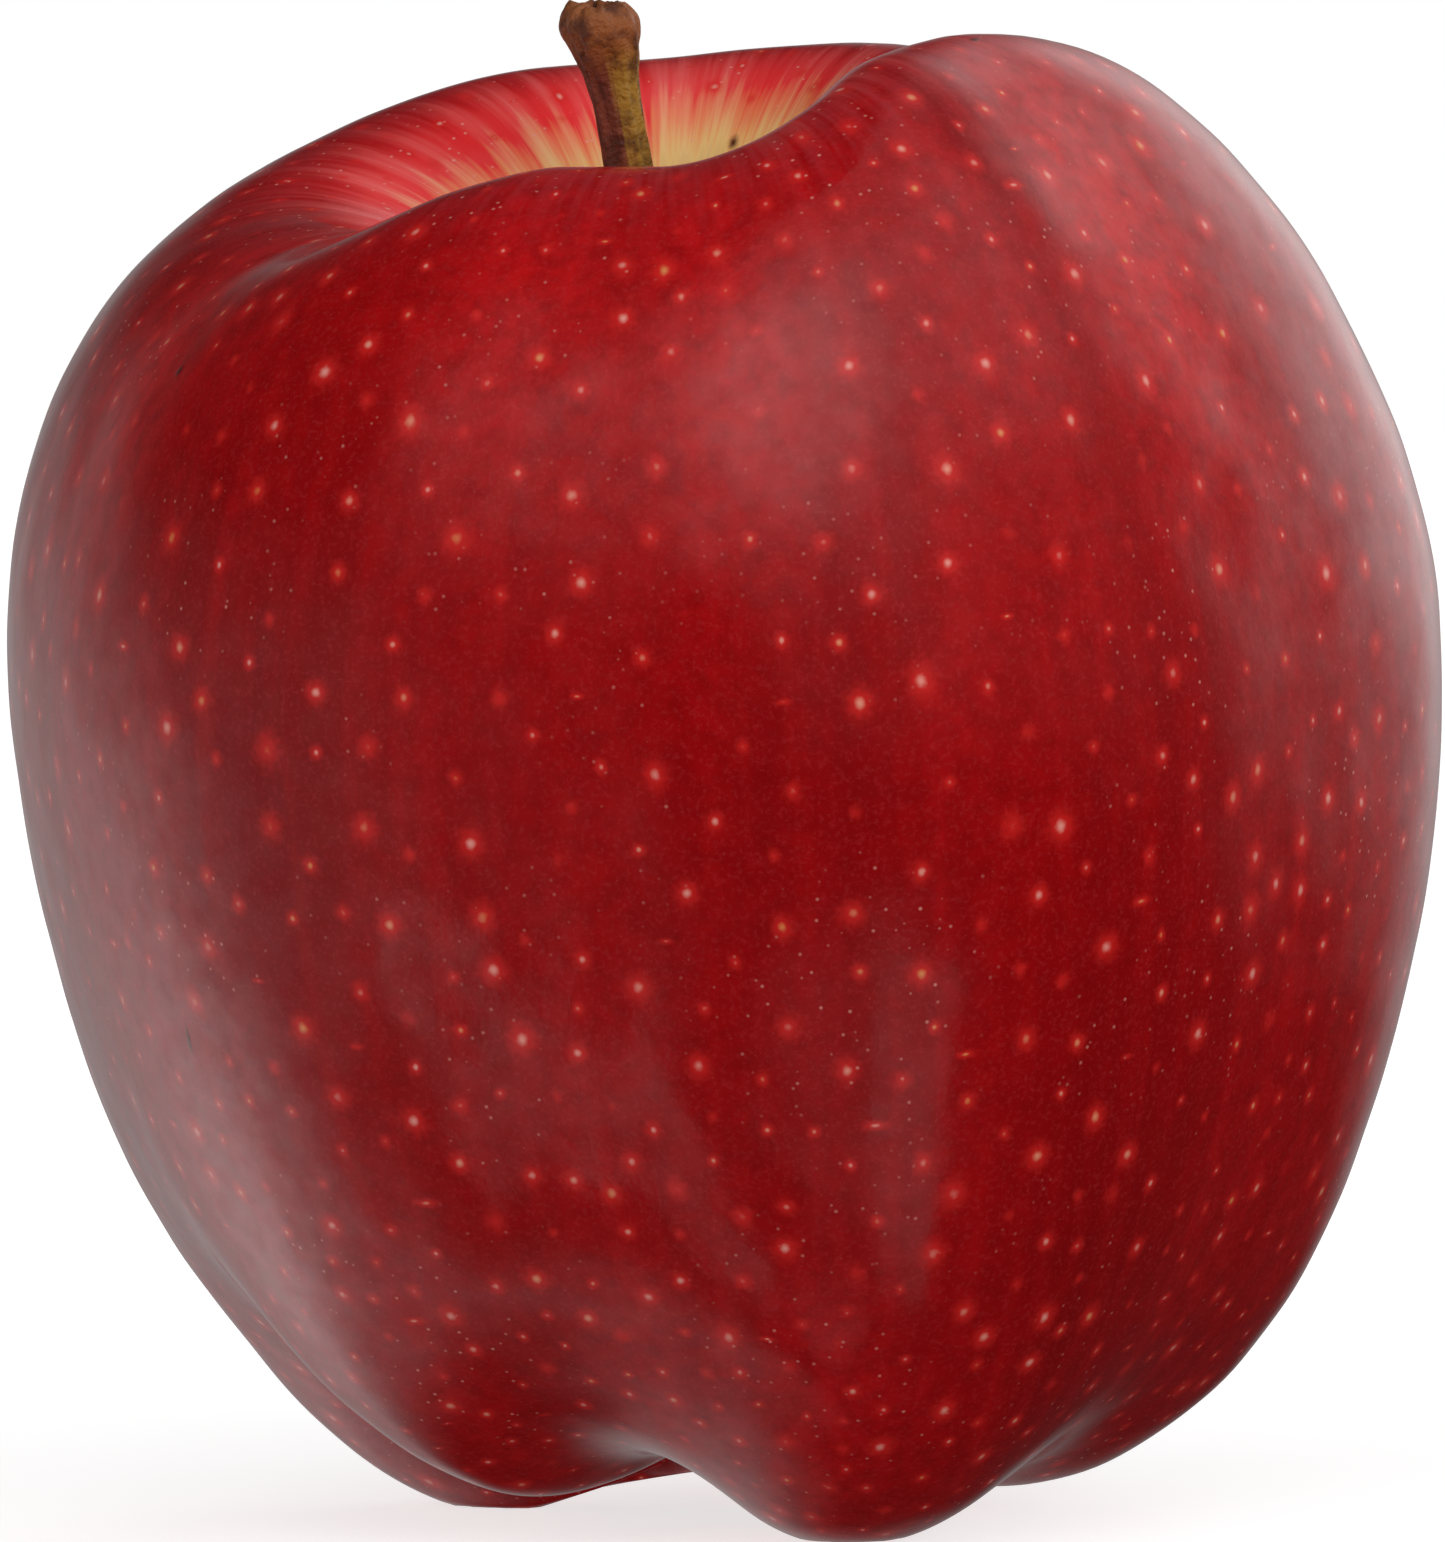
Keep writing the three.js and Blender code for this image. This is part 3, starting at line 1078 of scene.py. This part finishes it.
@dataclass
class Stalk:
    """The stalk, from its seat in the cavity to its thick, torn top, in millimetres."""

    fruit: Fruit
    seat_gap: float = 0.5
    length: float = 21.4
    outline: tuple[tuple[float, float], ...] = (
        (0.0, 1.15),
        (0.03, 1.45),
        (0.08, 1.75),
        (0.2, 1.55),
        (0.45, 1.38),
        (0.72, 1.32),
        (0.8, 1.45),
        (0.88, 1.95),
        (0.94, 2.25),
        (0.975, 2.1),
        (1.0, 1.5),
    )
    lean_x: float = -2.5
    lean_y: float = 1.0
    bow: float = 0.2
    ridges: int = 9
    ridge_height: float = 0.09
    ridge_twist: float = 0.5
    knob_start: float = 0.78
    knob_full: float = 0.93
    lumps: float = 0.05
    knob_lumps: float = 0.1
    torn_start: float = 0.95
    torn_height: float = 0.25
    crown_rings: int = 3
    crown_step: float = 0.62
    crown_radius: float = 2.2
    crown_frill: float = 0.12
    crown_peak: float = 0.1
    outline_rounding: int = 3
    rings: int = 90
    round_steps: int = 64

    def build(self, finish: StalkBark) -> bpy.types.Object:
        """Makes the stalk and dresses it.

        Args:
            finish: The bark.

        Returns:
            The stalk's object.
        """
        share = np.linspace(0.0, 1.0, self.rings)
        known = np.array(self.outline)
        radius = np.interp(share, known[:, 0], known[:, 1])
        for _ in range(self.outline_rounding):
            radius[1:-1] = (radius[:-2] + 2 * radius[1:-1] + radius[2:]) / 4
        angle = np.arange(self.round_steps) / self.round_steps * 2 * math.pi
        share_grid, angle_grid = np.meshgrid(share, angle, indexing="ij")
        twist = self.ridge_twist * share_grid
        ribs = np.cos(self.ridges * (angle_grid + twist)) + 0.6 * np.cos(
            (self.ridges - 4) * (angle_grid - twist) + 1.0
        )
        knob = smooth(share_grid, self.knob_start, self.knob_full)
        spots = np.stack(
            [np.cos(angle_grid) * 1.4, np.sin(angle_grid) * 1.4, share_grid * 7], axis=-1
        )
        lumps = np.array([[noise.fractal(Vector(spot), 0.6, 2, 3) for spot in row] for row in spots])
        reach = radius[:, None] + self.ridge_height * ribs * (1 - 0.5 * knob)
        reach = reach * (1 + lumps * (self.lumps + self.knob_lumps * knob))
        torn = smooth(share_grid, self.torn_start, 1.0) * lumps * self.torn_height
        places = np.stack(
            [
                reach * np.cos(angle_grid)
                + self.lean_x * share_grid
                + self.bow * np.sin(math.pi * share_grid),
                reach * np.sin(angle_grid) + self.lean_y * share_grid,
                share_grid * self.length + torn,
            ],
            axis=-1,
        )
        rows = [places.reshape(-1, 3)]
        tip = places[-1].mean(axis=0)
        for step in range(1, self.crown_rings + 1):
            narrowed = 1 - step * self.crown_step / self.crown_radius
            ring = tip + (places[-1] - tip) * narrowed
            ring[:, 2] += self.crown_frill * step * np.cos(3 * angle + step)
            rows.append(ring)
        rows.append(np.stack([places[0].mean(axis=0), tip + (0.0, 0.0, self.crown_peak)]))
        points = np.concatenate(rows)
        rings = self.rings + self.crown_rings
        faces = ring_faces(rings, self.round_steps)
        base, top = rings * self.round_steps, rings * self.round_steps + 1
        faces += cap_faces(0, base, self.round_steps, upwards=False)
        faces += cap_faces((rings - 1) * self.round_steps, top, self.round_steps, upwards=True)
        form = self.fruit.form
        root = (form.cavity_shift, 0.0, form.height - form.cavity_depth + self.seat_gap)
        piece = mesh_object("apple_stalk", self.fruit.stand(points, root), faces, finish.build())
        growth = np.stack([np.cos(angle_grid), np.sin(angle_grid), share_grid], axis=-1)
        crown = np.tile(growth[-1], (self.crown_rings, 1))
        marks = np.concatenate([growth.reshape(-1, 3), crown, growth[:1, 0], growth[-1:, 0]])
        add_layer(piece.data, "growth", marks, "POINT")
        return piece


@dataclass
class Sepal:
    """One dried sepal: a thin, pointed blade that closes and curls outwards, in millimetres."""

    fruit: Fruit
    number: int
    count: int = 5
    ring: float = 2.4
    root_drop: float = 2.2
    length: float = 6.6
    width: float = 2.2
    tip_width: float = 0.25
    thickness: float = 0.32
    closing: float = 0.8
    flare: float = 1.2
    cupping: float = 0.35
    crumple: float = 0.12
    along_steps: int = 26
    across_steps: int = 10

    def build(self, finish: bpy.types.Material) -> bpy.types.Object:
        """Makes the sepal and dresses it.

        Args:
            finish: The dried tissue's material.

        Returns:
            The sepal's object.
        """
        down = np.linspace(0.0, 1.0, self.along_steps)
        across = np.linspace(-1.0, 1.0, self.across_steps)
        down_grid, across_grid = np.meshgrid(down, across, indexing="ij")
        half = (self.width + (self.tip_width - self.width) * down_grid**1.5) / 2
        turn = self.number / self.count * 2 * math.pi
        crumples = np.array(
            [
                [noise.noise(Vector((a * 1.5, d * 5.0, self.number * 3.7))) for a in across]
                for d in down
            ]
        )
        outwards = self.flare * down_grid**2 - self.closing * np.sin(math.pi * down_grid)
        middle = outwards - self.cupping * across_grid**2 + self.crumple * 2 * crumples
        edge = 1.0 - 0.75 * np.abs(across_grid) ** 3
        half_thick = self.thickness / 2 * edge * (1 - 0.5 * down_grid)
        sheets = [
            np.stack([middle + side * half_thick, across_grid * half, -down_grid * self.length], -1)
            for side in (1.0, -1.0)
        ]
        points = np.concatenate([sheet.reshape(-1, 3) for sheet in sheets])
        about = np.array(Matrix.Rotation(turn, 3, "Z"))
        level = self.fruit.form.basin_depth - self.root_drop
        root = (self.ring * math.cos(turn), self.ring * math.sin(turn), level)
        standing = self.fruit.stand(points @ about.T, root)
        return mesh_object(f"dried_sepal_{self.number + 1}", standing, self.blade_faces(), finish)

    def blade_faces(self) -> list[tuple[int, ...]]:
        """Joins the points of the closed blade: outer side, inner side and rim.

        Returns:
            Vertex numbers round each face.
        """
        rows, columns = self.along_steps, self.across_steps
        back = rows * columns
        faces = []
        for row in range(rows - 1):
            for column in range(columns - 1):
                a = row * columns + column
                b, c, d = a + 1, a + columns + 1, a + columns
                faces.append((a, d, c, b))
                faces.append((a + back, b + back, c + back, d + back))
        rim = list(range(columns))
        rim += [row * columns + columns - 1 for row in range(1, rows)]
        rim += [(rows - 1) * columns + column for column in range(columns - 2, -1, -1)]
        rim += [row * columns for row in range(rows - 2, 0, -1)]
        for here, after in zip(rim, rim[1:] + rim[:1]):
            faces.append((here, after, after + back, here + back))
        return faces


@dataclass
class StamenTuft:
    """The withered stamens: a tuft of threads that hangs from the eye, in millimetres."""

    fruit: Fruit
    seat_gap: float = 0.5
    radius: float = 0.95
    length: float = 5.2
    threads: int = 18
    thread_radius: float = 0.13
    head_radius: float = 0.24
    turn: float = 137.5
    shortest: float = 0.72
    sway: float = 0.16
    gathering: float = 0.35
    along_steps: int = 18
    round_steps: int = 10
    seed: int = 5

    def build(self, finish: bpy.types.Material) -> bpy.types.Object:
        """Makes the tuft and dresses it.

        Args:
            finish: The dried tissue's material.

        Returns:
            The tuft's object.
        """
        rng = np.random.default_rng(self.seed)
        points: list[np.ndarray] = []
        faces: list[tuple[int, ...]] = []
        share = np.linspace(0.0, 1.0, self.along_steps)
        angle = -np.arange(self.round_steps) / self.round_steps * 2 * math.pi
        for thread in range(self.threads):
            turn = thread * math.radians(self.turn)
            ring = self.radius * 0.85 * math.sqrt((thread + 0.5) / self.threads)
            length = self.length * (self.shortest + (1.0 - self.shortest) * rng.random())
            sway = rng.normal(0.0, self.sway, 2)
            head = smooth(share, 0.84, 0.92) * (1 - smooth(share, 0.96, 1.0))
            radius = self.thread_radius + (self.head_radius - self.thread_radius) * head
            gather = 1.0 - self.gathering * np.sin(math.pi * share)
            centre = np.stack(
                [
                    ring * math.cos(turn) * gather + sway[0] * share**2,
                    ring * math.sin(turn) * gather + sway[1] * share**2,
                    -share * length,
                ],
                axis=-1,
            )
            first = sum(len(block) for block in points)
            tube = np.stack(
                [
                    centre[:, None, 0] + radius[:, None] * np.cos(angle),
                    centre[:, None, 1] + radius[:, None] * np.sin(angle),
                    np.repeat(centre[:, None, 2], self.round_steps, axis=1),
                ],
                axis=-1,
            ).reshape(-1, 3)
            points.append(np.concatenate([tube, centre[:1], centre[-1:]]))
            faces += ring_faces(self.along_steps, self.round_steps, first)
            base = first + len(tube)
            last = first + (self.along_steps - 1) * self.round_steps
            faces += cap_faces(first, base, self.round_steps, upwards=False)
            faces += cap_faces(last, base + 1, self.round_steps, upwards=True)
        root = (0.0, 0.0, self.fruit.form.basin_depth - self.seat_gap)
        standing = self.fruit.stand(np.concatenate(points), root)
        return mesh_object("stamen_tuft", standing, faces, finish)


# ---- Studio -------------------------------------------------------------------------------


@dataclass(frozen=True)
class Panel:
    """A soft white panel of the light tent, in degrees round the fruit.

    Azimuth 0 is the front and 90 the right. The widths are half of the panel's, and the edge
    is how far its light takes to fade.
    """

    azimuth: float
    elevation: float
    half_width: float
    half_height: float
    edge: float
    radiance: float


TENT = (
    Panel(-7.5, 42.5, 25.5, 18.0, 20.0, 1.74),  # large panel above the front
    Panel(59.0, 46.5, 40.0, 19.0, 18.0, 0.8),  # its weaker neighbour on the right
    Panel(138.0, 21.0, 28.0, 25.0, 16.0, 1.5),  # back right
    Panel(-120.0, -34.0, 24.0, 17.5, 26.0, 1.85),  # low, back left
    Panel(-88.0, -52.0, 18.0, 20.0, 22.0, 0.6),  # low, left
    Panel(-44.0, -47.0, 4.5, 19.0, 1.5, 0.42),  # low, in front, left pane
    Panel(27.0, -50.0, 17.0, 16.0, 1.5, 0.3),  # right pane
    Panel(10.0, -47.0, 28.0, 12.0, 6.0, 0.18),  # haze beside it
    Panel(-15.0, -72.0, 19.0, 4.0, 6.0, 0.25),  # underneath, in front
    Panel(64.0, 81.0, 112.0, 21.0, 15.0, 0.31),  # overhead
    Panel(41.0, 14.0, 56.0, 23.0, 10.0, 0.13),  # haze on the right
    Panel(-112.0, -14.0, 74.0, 25.0, 14.0, 0.33),  # haze on the left
)


@dataclass(frozen=True)
class Lamp:
    """A broad, soft light, in degrees round the fruit and watts per square metre.

    Azimuth 0 is the front and 90 the right. Softness is its apparent size in degrees.
    """

    name: str
    azimuth: float
    elevation: float
    strength: float
    softness: float


LAMPS = (
    Lamp("soft_key", 34.0, 14.0, 1.2, 35.0),
    Lamp("soft_fill", -70.0, 46.0, 0.42, 60.0),
    Lamp("soft_bounce", 10.0, -50.0, 0.35, 80.0),
)


@dataclass
class Studio:
    """Pale floor, light tent, soft key light and camera. Lengths are in metres."""

    target: Vector = field(default_factory=lambda: Vector((0.0, 0.0058, 0.04276)))
    distance: float = 0.7
    elevation: float = 2.375
    roll: float = -1.377
    lens: float = 284.7
    floor_half: float = 4.0
    floor_gap: float = 0.1 * MM
    floor_glow: float = 0.72
    tent_glow: float = 0.025

    def build(self) -> None:
        """Makes the floor, the lights and the camera."""
        scene = bpy.context.scene
        scene.view_settings.view_transform = "Standard"
        scene.world = self.tent()
        self.floor()
        for lamp in LAMPS:
            self.hang(lamp)
        scene.camera = self.camera()

    def tent(self) -> bpy.types.World:
        """Makes the world: white to the camera, and soft panels to the fruit.

        Returns:
            The world.
        """
        world = bpy.data.worlds.new("light_tent")
        world.use_nodes = True
        tree = world.node_tree
        tree.nodes.clear()
        add = partial(add_node, tree)
        direction = add("TexCoord").outputs["Generated"]
        height = add("SeparateXYZ", {0: direction}).outputs[2]
        lift = add("Math", {0: height}, operation="ARCSINE")
        total = self.tent_glow
        for panel in TENT:
            turn = math.radians(90.0 - panel.azimuth)
            facing = add(
                "VectorRotate", {"Vector": direction, "Angle": turn}, rotation_type="Z_AXIS"
            )
            parts = add("SeparateXYZ", {0: facing})
            sideways = add("Math", {0: parts.outputs[1], 1: parts.outputs[0]}, operation="ARCTAN2")
            off_side = add("Math", {0: sideways}, operation="ABSOLUTE")
            level = math.radians(panel.elevation)
            off_level = add("Math", {0: lift, 1: level}, operation="SUBTRACT")
            off_level = add("Math", {0: off_level}, operation="ABSOLUTE")
            shares = []
            for off, half in ((off_side, panel.half_width), (off_level, panel.half_height)):
                ends = [math.radians(half + panel.edge), math.radians(half - panel.edge)]
                shares.append(
                    add("MapRange", {0: off, 1: ends[0], 2: ends[1]}, interpolation_type="SMOOTHSTEP")
                )
            share = add("Math", {0: shares[0], 1: shares[1]}, operation="MULTIPLY")
            total = add("Math", {0: share, 1: panel.radiance, 2: total}, operation="MULTIPLY_ADD")
        white = add("Background", {"Color": WHITE, "Strength": 1.0})
        tent = add("Background", {"Color": WHITE, "Strength": total})
        path = add("LightPath").outputs["Is Camera Ray"]
        shown = add("MixShader", {0: path, 1: tent, 2: white})
        add("OutputWorld", {"Surface": shown})
        return world

    def floor(self) -> None:
        """Lays a pale, softly glowing sheet of paper under the fruit."""
        half = self.floor_half
        corners = np.array([(-half, -half, 0), (half, -half, 0), (half, half, 0), (-half, half, 0)])
        corners[:, 2] -= self.floor_gap
        material, tree = new_material("white_backdrop_paper")
        add = partial(add_node, tree)
        paper = add("BsdfDiffuse", {"Color": to_linear("c8c8c8")})
        glow = add("Emission", {"Color": WHITE, "Strength": self.floor_glow})
        add("OutputMaterial", {"Surface": add("AddShader", {0: paper, 1: glow})})
        material.cycles.emission_sampling = "NONE"
        sheet = mesh_object("backdrop_paper", corners, [(0, 1, 2, 3)], material)
        sheet.visible_diffuse = False
        sheet.visible_glossy = False
        sheet.visible_transmission = False
        sheet.visible_shadow = False

    def hang(self, lamp: Lamp) -> None:
        """Hangs a lamp, which shapes the fruit without showing in its gloss.

        Args:
            lamp: The lamp.
        """
        sun = bpy.data.lights.new(lamp.name, "SUN")
        sun.energy = lamp.strength
        sun.angle = math.radians(lamp.softness)
        light = bpy.data.objects.new(lamp.name, sun)
        turn, tip = math.radians(lamp.azimuth), math.radians(90.0 - lamp.elevation)
        light.rotation_euler = (tip, 0.0, turn)
        light.visible_glossy = False
        bpy.context.scene.collection.objects.link(light)

    def camera(self) -> bpy.types.Object:
        """Sets up the camera, slightly above the fruit's middle and a little rolled.

        Returns:
            The camera.
        """
        lens = bpy.data.cameras.new("camera")
        lens.lens = self.lens
        lens.clip_start, lens.clip_end = 0.01, 50.0
        camera = bpy.data.objects.new("camera", lens)
        aim = Matrix.Rotation(math.radians(90.0 - self.elevation), 4, "X")
        aim = aim @ Matrix.Rotation(math.radians(self.roll), 4, "Z")
        camera.matrix_world = (
            Matrix.Translation(self.target) @ aim @ Matrix.Translation((0.0, 0.0, self.distance))
        )
        bpy.context.scene.collection.objects.link(camera)
        return camera


# ---- Assembly -----------------------------------------------------------------------------


def settle(piece: bpy.types.Object, node: str) -> None:
    """Puts a piece on the frame in place of its CAD node, and reports it.

    Args:
        piece: The finished piece.
        node: CAD node that it stands for.
    """
    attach(piece, "root")
    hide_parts(node)
    LOG.info("%s stands for %s: %d faces", piece.name, node, len(piece.data.polygons))


def main() -> None:
    """Builds the apple and its studio."""
    logging.basicConfig(level=logging.INFO, format="%(message)s")
    fruit = Fruit()
    settle(fruit.build(WaxedSkin()), "fruit")
    settle(Stalk(fruit).build(StalkBark()), "stalk")
    leaf = DriedLeaf().build()
    for number in range(Sepal.count):
        settle(Sepal(fruit, number).build(leaf), f"sepal_{number + 1}")
    thread = DriedLeaf(name="withered_stamen_thread", body="4a3420", vein="2c1c10", down="6e5434")
    settle(StamenTuft(fruit).build(thread.build()), "stamens")
    Studio().build()


if __name__ == "__main__":
    main()
